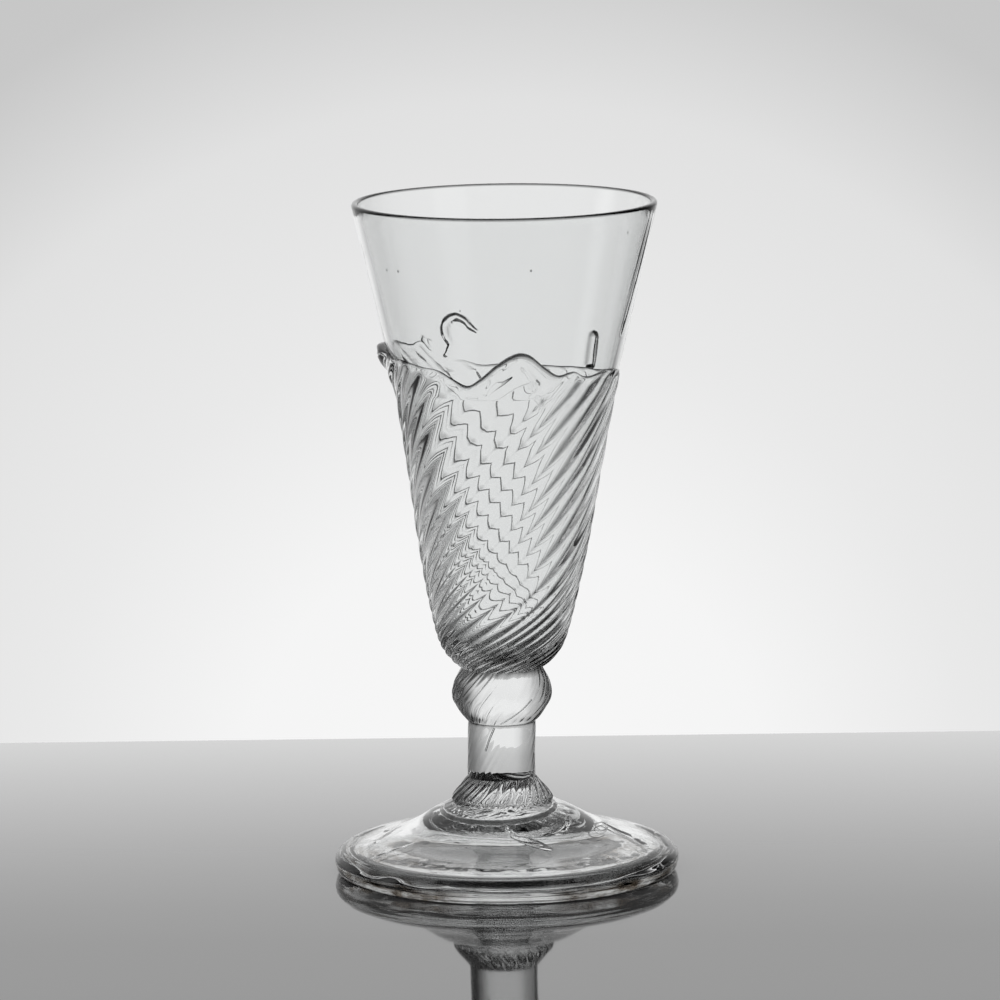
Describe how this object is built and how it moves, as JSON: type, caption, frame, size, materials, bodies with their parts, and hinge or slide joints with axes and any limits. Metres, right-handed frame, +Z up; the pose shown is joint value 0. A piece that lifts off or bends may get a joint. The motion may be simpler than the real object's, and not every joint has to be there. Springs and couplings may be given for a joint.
{
  "type": "wrythen dwarf ale glass",
  "caption": "Small footed drinking glass with a tall conical bowl, twisted ribs rising to a flame-shaped edge, a round knop, a short stem and a folded conical foot.",
  "frame": {"origin": "middle of the flat ring that the foot rests on", "axes": "+Z up through the bowl, -Y towards the front of the picture, +X to its right"},
  "size_m": [0.0648, 0.0648, 0.127],
  "materials": {
    "clear_glass": "fire-polished clear lead glass with a faint grey tint, a few seeds and tool marks",
    "rough_glass": "broken, unpolished glass of the pontil scar"
  },
  "bodies": {
    "root": {"bowl": "clear_glass", "wrythen_overlay": "clear_glass", "knop": "clear_glass", "stem": "clear_glass", "stem_boss": "clear_glass", "foot": "clear_glass", "foot_fold": "clear_glass", "pontil_scar": "rough_glass"}
  },
  "joints": []
}
